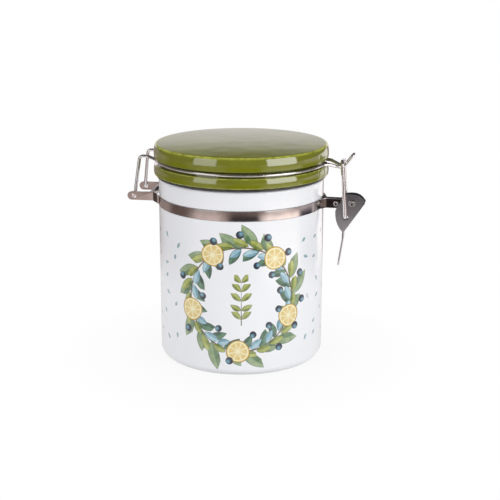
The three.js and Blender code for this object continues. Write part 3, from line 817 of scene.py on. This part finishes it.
def wreath_print(tree, places, wash):
    """The colour of the glaze with the decal on it."""
    x, y, z = places
    turned_x = x * math.cos(PRINT_CENTRE) + y * math.sin(PRINT_CENTRE)
    turned_y = y * math.cos(PRINT_CENTRE) - x * math.sin(PRINT_CENTRE)
    girth = TAU * body_radius / MM
    round_jar = turned_y.call("ARCTAN2", turned_x) * (girth / TAU)
    half_panel = girth / PRINT_REPEATS / 2
    across = round_jar.call("WRAP", half_panel, -half_panel)
    height = z / MM
    rise = height - WREATH_HEIGHT
    radius = length_of(across, rise)
    angle = rise.call("ARCTAN2", across)

    picture = add_confetti(tree, PAPER_WHITE, round_jar, height, half_panel, wash)
    picture = add_sprig(tree, picture, across, height, CENTRE_SPRIG, wash)
    stem = abs(radius - WREATH_RADIUS).over(*WREATH_STEM)
    picture = blended(tree, stem, picture, STEM_BROWN)
    for ring in LEAF_RINGS:
        picture = add_leaf_ring(tree, picture, radius, angle, ring, wash)
    picture = add_lemons(tree, picture, radius, angle, LEMONS, wash)
    for ring in BERRY_RINGS:
        picture = add_berries(tree, picture, radius, angle, ring)

    middle = band_height / MM / 2
    printed = abs(height - middle).over(*(middle - margin for margin in PRINT_MARGIN))
    wall = length_of(x, y).over(*(body_radius - depth * MM for depth in PRINT_DEPTH))
    return blended(tree, printed * wall, PAPER_WHITE, picture)


# Materials

# The part of a noise's range that fades from one tone to another
SOFT_PATCHES = (0.3, 0.7)
SPARSE_PATCHES = (0.35, 0.75)

JAR_WASH_STRENGTH = 0.10
JAR_ROUGHNESS = (0.10, 0.18)
JAR_DIMPLES = 0.05

OLIVE_DEEP = (0.140, 0.157, 0.002)
OLIVE_PALE = (0.184, 0.192, 0.006)
WORN_TONE = (0.50, 0.52, 0.10)
WORN_EDGES = [
    {"inset": 1.3 * MM, "height": lid_edge - 0.3 * MM, "reach": 1.25 * MM},
    {"inset": 0.3 * MM, "height": flange_low, "reach": 0.9 * MM},
    {"inset": 0.6 * MM, "height": groove_low, "reach": 0.8 * MM},
]
WORN_CORE = 0.15
WORN_PATCHES = (0.25, 0.7)
WORN_STRENGTH = 0.85
# Dark in the groove: partly pooled glaze, partly painted shade.
GROOVE_POOL_AND_SHADE_TONE = (0.05, 0.06, 0.004)
GROOVE_SHADE_REACH = 0.9 * MM
GROOVE_SHADE_STRENGTH = 0.6
LID_TOP_TONE = (0.02, 0.022, 0.001)
LID_TOP_INSET = (1.8 * MM, 2.6 * MM)
LID_TOP_START = (groove_high, lid_edge - 0.2 * MM)
LID_TOP_STRENGTH = 0.2
DULL_INSET = (0.5 * MM, 1.2 * MM)
DULL_DROP = (1.2 * MM, 0.6 * MM)
LID_ROUGHNESS = (0.05, 0.13)
LID_SPECULAR = (0.5, 0.03)
LOWER_FLANGE_THIN = (3.6 * MM, 2 * MM)
UPPER_FLANGE_THIN = (4 * MM, 2 * MM)
LID_COAT = (1, 0.15)
LID_DIMPLES = 0.04

# Grey silicone drawn near black: painted shade for the dark gap under the lid.
SILICONE_SHADED_DARK = (0.03, 0.029, 0.027)
SILICONE_SHADED_PALE = (0.07, 0.068, 0.064)
SILICONE_ROUGHNESS = (0.35, 0.55)

BAND_TONE = (0.82, 0.77, 0.75)
WIRE_TONE = (1.0, 0.99, 0.985)
LEVER_TONE = (0.74, 0.72, 0.74)
RIVET_TONE = (0.95, 0.92, 0.90)
# Painted shade inside the rivets' bores.
BORE_PAINTED_SHADE_TONE = (0.03, 0.027, 0.026)
SMUDGE_TONE = 0.78
MARK_ROUGHNESS = 0.12
SMUDGE_ROUGHNESS = 0.10
MARK_HEIGHT = 0.02
PAINTED_DARK_SHARE = (0.9, 1)
BAND_ROUGHNESS = 0.14
WIRE_ROUGHNESS = 0.18
LEVER_ROUGHNESS = 0.36
RIVET_ROUGHNESS = 0.2
BAND_GRAIN = (0.05, 0.05, 1)
WIRE_GRAIN = (1, 1, 0.2)
LEVER_GRAIN = (1, 1, 0.08)
RIVET_GRAIN = (1, 1, 1)
BAND_CROWN = {
    "height": band_height,
    "half_width": BAND_WIDTH / 2,
    "depth": 0.09,
    "radius": body_radius + MM,
    "ear_end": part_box("front_band")[0].x,
    "ear_bow": 1.5,
}
# Painted dark reflection: the latch's tab is darkened towards its outer end.
TAB_PAINTED_REFLECTION = {
    "axis": "x",
    "ramps": [(body_radius + 1.6 * MM, body_radius + 2.6 * MM)],
    "tone": (0.17, 0.145, 0.14),
}
# Painted dark reflection: a dark stripe where the ears bend off the band.
EAR_ROOT_PAINTED_REFLECTION = {
    "axis": "x",
    "ramps": [
        (-body_radius - 1.8 * MM, -body_radius - 1.3 * MM),
        (-body_radius + 1.6 * MM, -body_radius + 1.0 * MM),
    ],
    "tone": (0.06, 0.05, 0.048),
}
# Painted shade: the lever is darker towards its top.
LEVER_TOP_PAINTED_SHADE = {
    "axis": "z",
    "ramps": [(lever_top - 22 * MM, lever_top)],
    "tone": (0.28, 0.27, 0.295),
}


def jar_glaze():
    material, tree, shader = new_material("printed_white_glaze")
    vector, places = object_place(tree)
    wash = noise(tree, vector, per_metre=260, detail=4)
    colour = wreath_print(tree, places, wash)
    colour = blended(tree, wash.over(*SPARSE_PATCHES) * JAR_WASH_STRENGTH, colour, PAPER_WHITE)
    tree.links.new(colour, shader.inputs["Base Color"])
    cloud = noise(tree, vector, per_metre=90, detail=3)
    plug(tree, shader.inputs["Roughness"], cloud.between(*JAR_ROUGHNESS))
    shader.inputs["IOR"].default_value = 1.52
    shader.inputs["Coat Weight"].default_value = 0.6
    shader.inputs["Coat Roughness"].default_value = 0.04
    dimples = noise(tree, vector, per_metre=700, detail=2)
    ripple = noise(tree, vector, per_metre=45, detail=1) + dimples * JAR_DIMPLES
    add_bump(tree, shader, ripple, distance=0.25 * MM, strength=0.35)
    return material


def lid_glaze():
    """Olive glaze: worn pale on its edges, dark in the groove from pooled glaze and painted shade, duller
    on the top than on the flanges.
    """
    material, tree, shader = new_material("olive_glaze")
    vector, (x, y, z) = object_place(tree)
    radius = length_of(x, y)

    def in_from_rim(insets):
        start, full = insets
        return radius.over(lid_radius - start, lid_radius - full)

    def near_edge(row):
        from_edge = length_of(radius - (lid_radius - row["inset"]), z - row["height"])
        return from_edge.over(row["reach"], row["reach"] * WORN_CORE)

    def low_on_flange(foot, ramp):
        return z.over(*(foot + rise for rise in ramp))

    pooled = noise(tree, vector, per_metre=55, detail=4)
    colour = blended(tree, pooled.over(*SOFT_PATCHES), OLIVE_DEEP, OLIVE_PALE)
    edge, *other_edges = [near_edge(row) for row in WORN_EDGES]
    for other in other_edges:
        edge = edge.call("MAXIMUM", other)
    worn = edge * noise(tree, vector, per_metre=300, detail=3).over(*WORN_PATCHES)
    colour = blended(tree, worn * WORN_STRENGTH, colour, WORN_TONE)
    # The groove darkens: pooled glaze together with painted shade in the recess.
    groove = radius.over(groove_radius + GROOVE_SHADE_REACH, groove_radius)
    groove = groove * z.over(groove_low - MM, groove_low) * z.over(groove_high + MM, groove_high)
    colour = blended(tree, groove * GROOVE_SHADE_STRENGTH, colour, GROOVE_POOL_AND_SHADE_TONE)
    top = in_from_rim(LID_TOP_INSET) * z.over(*LID_TOP_START)
    colour = blended(tree, top * LID_TOP_STRENGTH, colour, LID_TOP_TONE)
    tree.links.new(colour, shader.inputs["Base Color"])

    dull = in_from_rim(DULL_INSET) * z.over(*(lid_edge - drop for drop in DULL_DROP))
    cloud = noise(tree, vector, per_metre=120, detail=3)
    plug(tree, shader.inputs["Roughness"], cloud.between(*LID_ROUGHNESS))
    shader.inputs["IOR"].default_value = 1.5
    plug(tree, shader.inputs["Specular IOR Level"], dull.between(*LID_SPECULAR))
    on_upper = low_on_flange(groove_high, UPPER_FLANGE_THIN) * z.over(groove_low, groove_high)
    thin = low_on_flange(flange_low, LOWER_FLANGE_THIN) + on_upper
    plug(tree, shader.inputs["Coat Weight"], dull.flipped() * thin.between(*LID_COAT))
    shader.inputs["Coat IOR"].default_value = 2.2
    shader.inputs["Coat Roughness"].default_value = 0.03
    dimples = noise(tree, vector, per_metre=900, detail=2)
    ripple = noise(tree, vector, per_metre=60, detail=1) + dimples * LID_DIMPLES
    add_bump(tree, shader, ripple, distance=0.25 * MM, strength=0.3)
    return material


def silicone():
    material, tree, shader = new_material("grey_silicone_painted_shade")
    vector, _ = object_place(tree)
    cloud = noise(tree, vector, per_metre=150, detail=4)
    # Near black tones: painted shade over a grey silicone.
    colour = blended(tree, cloud.over(*SOFT_PATCHES), SILICONE_SHADED_DARK, SILICONE_SHADED_PALE)
    tree.links.new(colour, shader.inputs["Base Color"])
    plug(tree, shader.inputs["Roughness"], cloud.between(*SILICONE_ROUGHNESS))
    shader.inputs["Subsurface Weight"].default_value = 0.15
    shader.inputs["Subsurface Scale"].default_value = 1.5 * MM
    dimples = noise(tree, vector, per_metre=2500, detail=2)
    add_bump(tree, shader, dimples, distance=0.05 * MM, strength=0.4)
    return material


def steel(name, tone, roughness, grain, crown=None, fades=(), bore=None):
    """Polished steel with fine rolling marks; grain gives the noise's stretch along each axis.

    A crown bows the face of a band, each fade darkens the steel along an axis with painted shade, and a
    bore gets painted shade inside.
    """
    material, tree, shader = new_material(name)
    vector, (x, y, z) = object_place(tree)
    marks = noise(tree, vector, per_metre=900, detail=4, stretch=grain)
    smudge = noise(tree, vector, per_metre=120, detail=4)
    darker = tuple(SMUDGE_TONE * part for part in tone)
    colour = blended(tree, smudge.over(*SPARSE_PATCHES), tone, darker)
    # Each fade paints a darker patch along one axis: painted shade, not a colour of the steel.
    for fade in fades:
        along = {"x": x, "z": z}[fade["axis"]]
        share = smudge.between(*PAINTED_DARK_SHARE)
        for low, high in fade["ramps"]:
            share = share * along.over(low, high)
        colour = blended(tree, share, colour, fade["tone"])
    # Painted shade in a rivet's bore: darker towards its axis.
    if bore:
        from_axis = length_of(x - bore["centre"].x, z - bore["centre"].z)
        colour = blended(tree, from_axis.over(bore["unshaded"], bore["dark"]), colour, BORE_PAINTED_SHADE_TONE)
    tree.links.new(colour, shader.inputs["Base Color"])
    shader.inputs["Metallic"].default_value = 1
    uneven = marks * MARK_ROUGHNESS + smudge * SMUDGE_ROUGHNESS
    plug(tree, shader.inputs["Roughness"], uneven + (roughness - SMUDGE_ROUGHNESS))
    height = marks * MARK_HEIGHT
    if crown:
        rise = (z - crown["height"]) / crown["half_width"]
        on_band = length_of(x, y).over(crown["radius"] + MM, crown["radius"])
        height = height - rise * rise * on_band * crown["depth"]
        height = height + x.over(-crown["radius"], crown["ear_end"]) * crown["ear_bow"]
    add_bump(tree, shader, height, distance=MM, strength=1.0)
    return material


def rivet_steel(name, centre, shank):
    bore = shank - RIVET_TUBE_WALL
    # The bore's dark inside is painted shade.
    bore_shade = {"centre": centre, "unshaded": bore + RIVET_MOUTH_FLARE, "dark": bore}
    return steel(name, RIVET_TONE, RIVET_ROUGHNESS, RIVET_GRAIN, bore=bore_shade)


# Stage

FLOOR_TONE = (0.5, 0.5, 0.5)
FLOOR_REACH = 6
FLOOR_GLOW = (0.92, 1)
FLOOR_SHADOW = (body_radius, 2.4 * body_radius)

SOFTBOXES = [
    {"name": "softbox_left", "azimuth": -46.8, "width": 0.58, "radiance": 1.6, "glow": 1.15},
    {"name": "softbox_right", "azimuth": 53, "width": 0.77, "radiance": 3.0, "glow": 2.1},
]
SOFTBOX_DISTANCE = 0.95
SOFTBOX_TALL = 0.86
SOFTBOX_SOFT_EDGE = 0.05
GLOW_TALL = 0.58

# What glossy surfaces mirror of the room, what lights the matt ones, and what the camera sees
DIM_ROOM_TONE = (0.10, 0.09, 0.09)
WALL_TONE = (1.75, 1.66, 1.8)
WALL_TOP = (math.sin(math.radians(14.6)), math.sin(math.radians(10.6)))
WALL_SIDES = (0.82, 0.95)
FILL_RIGHT = (0.50, 0.50, 0.515)
FILL_LEFT = (1.0, 1.0, 1.02)
BACKDROP_WHITE = (1.0, 1.0, 1.0)

# What the steel mirrors: a dim warm floor and panels between two azimuths from the camera's, in degrees
FLOOR_MIRROR_TONE = (0.20, 0.14, 0.125)
BACK_TONE = (0.70, 0.64, 0.62)
PANELS = [
    {"from": -181, "to": -160, "edges": (1, 6), "near": BACK_TONE, "far": BACK_TONE},
    {"from": -160, "to": -108, "edges": (6, 8), "near": (0.31, 0.25, 0.235), "far": (0.31, 0.25, 0.235)},
    {"from": -105, "to": -78, "edges": (8, 5), "near": (0.125, 0.09, 0.08), "far": (0.125, 0.09, 0.08)},
    {"from": -66, "to": -22, "edges": (9, 10), "near": (0.68, 0.56, 0.525), "far": (0.42, 0.345, 0.32)},
    {"from": -15, "to": 27, "edges": (6, 6), "near": (0.010, 0.008, 0.011), "far": (0.18, 0.135, 0.125)},
    {"from": -10, "to": 4, "edges": (5, 6), "near": (0.010, 0.008, 0.011), "far": (0.13, 0.097, 0.09)},
    {"from": 27, "to": 83, "edges": (7, 4), "near": (1.38, 1.2, 1.13), "far": (0.44, 0.35, 0.33)},
    {"from": 83, "to": 117, "edges": (4, 2), "near": (0.018, 0.016, 0.030), "far": (0.52, 0.45, 0.47)},
    {"from": 117, "to": 150, "edges": (2, 4), "near": (1.2, 1.13, 1.11), "far": (1.2, 1.13, 1.11)},
    {"from": 160, "to": 181, "edges": (5, 1), "near": BACK_TONE, "far": BACK_TONE},
]
REFLECTOR_SIDES = 72
REFLECTOR_LIFT = 1 * MM
REFLECTOR_NEAR = 0.052
REFLECTOR_NEAR_TONE = (0.78, 0.76, 0.76)
REFLECTOR_FADE = (0.18, 0.29)
REFLECTOR_FAR = 6.0
REFLECTOR_TURN_OVER = (0.34, 0.60)


def add_stage(name, vertices, faces, material):
    mesh = bpy.data.meshes.new(name)
    mesh.from_pydata(vertices, [], faces)
    mesh.materials.append(material)
    surface = bpy.data.objects.new(name, mesh)
    bpy.context.scene.collection.objects.link(surface)
    return surface


def only_mirrored(surface):
    surface.visible_camera = False
    surface.visible_diffuse = False
    surface.visible_shadow = False
    surface.visible_transmission = False


def floor_material():
    """A white sweep: it glows white to the camera, a little less close to the jar."""
    material, tree, shader = new_material("white_sweep")
    plug(tree, shader.inputs["Base Color"], FLOOR_TONE)
    shader.inputs["Roughness"].default_value = 0.7
    path = tree.nodes.new("ShaderNodeLightPath")
    glow = tree.nodes.new("ShaderNodeEmission")
    mix = tree.nodes.new("ShaderNodeMixShader")
    _, (x, y, _) = object_place(tree)
    share = Field(tree, path.outputs["Is Camera Ray"]).call("MAXIMUM", path.outputs["Is Glossy Ray"])
    away = length_of(x, y).over(*FLOOR_SHADOW)
    plug(tree, mix.inputs["Fac"], share * away.between(*FLOOR_GLOW))
    tree.links.new(shader.outputs[0], mix.inputs[1])
    tree.links.new(glow.outputs[0], mix.inputs[2])
    tree.links.new(mix.outputs[0], tree.nodes["Material Output"].inputs["Surface"])
    return material


def add_floor():
    reach = FLOOR_REACH
    corners = [(-reach, -reach, 0), (reach, -reach, 0), (reach, reach, 0), (-reach, reach, 0)]
    add_stage("floor", corners, [range(4)], floor_material())


def softbox_glow(name, half, strength):
    """A glow that fades at its two sides."""
    material, tree, _ = new_material(name)
    material.cycles.emission_sampling = "NONE"
    _, (x, _, _) = object_place(tree)
    emission = tree.nodes.new("ShaderNodeEmission")
    plug(tree, emission.inputs["Strength"], abs(x).over(half, half - SOFTBOX_SOFT_EDGE) * strength)
    tree.links.new(emission.outputs[0], tree.nodes["Material Output"].inputs["Surface"])
    return material


def add_softbox(name, azimuth, width, radiance, glow):
    """A lamp for the matt surfaces and, in the same place, the glow that glossy ones mirror.

    The azimuth is from the camera's, in degrees.
    """
    heading = -TAU / 4 + CAMERA_AZIMUTH + math.radians(azimuth)
    facing = Vector((math.cos(heading), math.sin(heading), 0))
    turn = facing.to_track_quat("Z", "Y").to_euler()
    data = bpy.data.lights.new(name, "AREA")
    data.shape = "RECTANGLE"
    data.size = width
    data.size_y = SOFTBOX_TALL
    data.energy = radiance * math.pi * width * SOFTBOX_TALL
    lamp = bpy.data.objects.new(name, data)
    lamp.location = facing * SOFTBOX_DISTANCE + Vector((0, 0, SOFTBOX_TALL / 2))
    lamp.rotation_euler = turn
    lamp.visible_camera = False
    lamp.visible_glossy = False
    bpy.context.scene.collection.objects.link(lamp)

    half = width / 2
    corners = [(-half, 0, 0), (half, 0, 0), (half, GLOW_TALL, 0), (-half, GLOW_TALL, 0)]
    panel = add_stage(f"{name}_glow", corners, [range(4)], softbox_glow(f"{name}_glow", half, glow))
    panel.location = facing * SOFTBOX_DISTANCE
    panel.rotation_euler = turn
    only_mirrored(panel)


def reflector_material():
    """A glow that changes round the jar and away from it."""
    material, tree, _ = new_material("reflector")
    _, (x, y, _) = object_place(tree)
    ahead = x * math.sin(CAMERA_AZIMUTH) - y * math.cos(CAMERA_AZIMUTH)
    aside = x * math.cos(CAMERA_AZIMUTH) + y * math.sin(CAMERA_AZIMUTH)
    azimuth = aside.call("ARCTAN2", ahead) * (360 / TAU)
    reach = length_of(x, y)
    away = reach.over(*REFLECTOR_TURN_OVER)
    colour = FLOOR_MIRROR_TONE
    for panel in PANELS:
        low_edge, high_edge = panel["edges"]
        low = azimuth.over(panel["from"] - low_edge, panel["from"] + low_edge)
        high = azimuth.over(panel["to"] + high_edge, panel["to"] - high_edge)
        tone = blended(tree, away, panel["near"], panel["far"])
        colour = blended(tree, low * high, colour, tone)
    colour = blended(tree, reach.over(*REFLECTOR_FADE), REFLECTOR_NEAR_TONE, colour)
    glow = tree.nodes.new("ShaderNodeEmission")
    tree.links.new(colour, glow.inputs["Color"])
    tree.links.new(glow.outputs[0], tree.nodes["Material Output"].inputs["Surface"])
    return material


def add_reflector():
    """A flat ring that lies round the jar and shows only in its reflections."""
    vertices = []
    for reach in (REFLECTOR_NEAR, REFLECTOR_FAR):
        for side in range(REFLECTOR_SIDES):
            angle = TAU * side / REFLECTOR_SIDES
            vertices.append((reach * math.cos(angle), reach * math.sin(angle), REFLECTOR_LIFT))
    faces = []
    for side in range(REFLECTOR_SIDES):
        ahead = (side + 1) % REFLECTOR_SIDES
        faces.append((side, ahead, ahead + REFLECTOR_SIDES, side + REFLECTOR_SIDES))
    only_mirrored(add_stage("reflector", vertices, faces, reflector_material()))


def add_world():
    """A studio: white to the camera, a fill that is brighter from the left, and a dim room to mirror."""
    world = bpy.data.worlds.new("studio")
    bpy.context.scene.world = world
    world.use_nodes = True
    tree = world.node_tree
    background = tree.nodes["Background"]
    path = tree.nodes.new("ShaderNodeLightPath")
    place = tree.nodes.new("ShaderNodeTexCoord")
    parts = tree.nodes.new("ShaderNodeSeparateXYZ")
    tree.links.new(place.outputs["Generated"], parts.inputs[0])
    x, y, z = (Field(tree, parts.outputs[i]) for i in range(3))
    behind = y * math.cos(CAMERA_AZIMUTH) - x * math.sin(CAMERA_AZIMUTH)
    wall = z.over(*WALL_TOP) * behind.over(*WALL_SIDES)
    room = blended(tree, wall, DIM_ROOM_TONE, WALL_TONE)
    left = -(x * math.cos(CAMERA_AZIMUTH) + y * math.sin(CAMERA_AZIMUTH))
    fill = blended(tree, left.over(-1, 1), FILL_RIGHT, FILL_LEFT)
    soft = blended(tree, path.outputs["Is Diffuse Ray"], room, fill)
    colour = blended(tree, path.outputs["Is Camera Ray"], soft, BACKDROP_WHITE)
    tree.links.new(colour, background.inputs["Color"])


def add_camera():
    data = bpy.data.cameras.new("camera")
    data.lens = CAMERA_LENS
    data.sensor_width = CAMERA_SENSOR
    data.shift_x = CAMERA_SHIFT
    data.clip_start = CAMERA_NEAR
    camera = bpy.data.objects.new("camera", data)
    camera.location = (
        CAMERA_DISTANCE * math.sin(CAMERA_AZIMUTH),
        -CAMERA_DISTANCE * math.cos(CAMERA_AZIMUTH),
        CAMERA_HEIGHT,
    )
    camera.rotation_euler = (math.pi / 2 - CAMERA_PITCH, 0, CAMERA_AZIMUTH)
    bpy.context.scene.collection.objects.link(camera)
    bpy.context.scene.camera = camera


# The whole scene

add_camera()
# The band's painted dark reflections at the latch's tab and at the ears' roots.
band_painted_reflections = [TAB_PAINTED_REFLECTION, EAR_ROOT_PAINTED_REFLECTION]
band_steel = steel("band_steel", BAND_TONE, BAND_ROUGHNESS, BAND_GRAIN, BAND_CROWN, band_painted_reflections)
bridge_steel = steel("bridge_steel", BAND_TONE, BAND_ROUGHNESS, BAND_GRAIN, BAND_CROWN)
wire_steel = steel("wire_steel", WIRE_TONE, WIRE_ROUGHNESS, WIRE_GRAIN)
lever_steel = steel("lever_steel", LEVER_TONE, LEVER_ROUGHNESS, LEVER_GRAIN, fades=[LEVER_TOP_PAINTED_SHADE])

add_turned_piece("jar_glazed", jar_profile(), "jar_body", "jar", jar_glaze())
add_turned_piece("lid_glazed", lid_profile(), "lid", "lid", lid_glaze())
add_turned_piece("seal_ring", gasket_profile(), "gasket", "lid", silicone())
add_sheet_piece("band_front_half", "front_band", "jar", band_steel)
add_sheet_piece("band_rear_half", "rear_band", "jar", band_steel)
add_sheet_piece("bridge_strip", "hinge_bridge", "jar", bridge_steel)
add_sheet_piece("lever_stamped", "latch_lever", "lever", lever_steel)
add_rivet("clamp_eyelet", "clamp_rivet", tab_face, CLAMP_SHANK_RADIUS, "clamp_steel")
add_rivet("pivot_eyelet", "pivot_rivet", cheek_face, PIVOT_SHANK_RADIUS, "pivot_steel")
add_wire_piece("bail_wire", bail_route(), "lid_bail", "bail", wire_steel)
add_wire_piece("loop_wire", loop_route(), "latch_loop", "loop", wire_steel)

add_world()
add_floor()
add_reflector()
for softbox in SOFTBOXES:
    add_softbox(**softbox)

bpy.context.scene.view_settings.view_transform = "Standard"
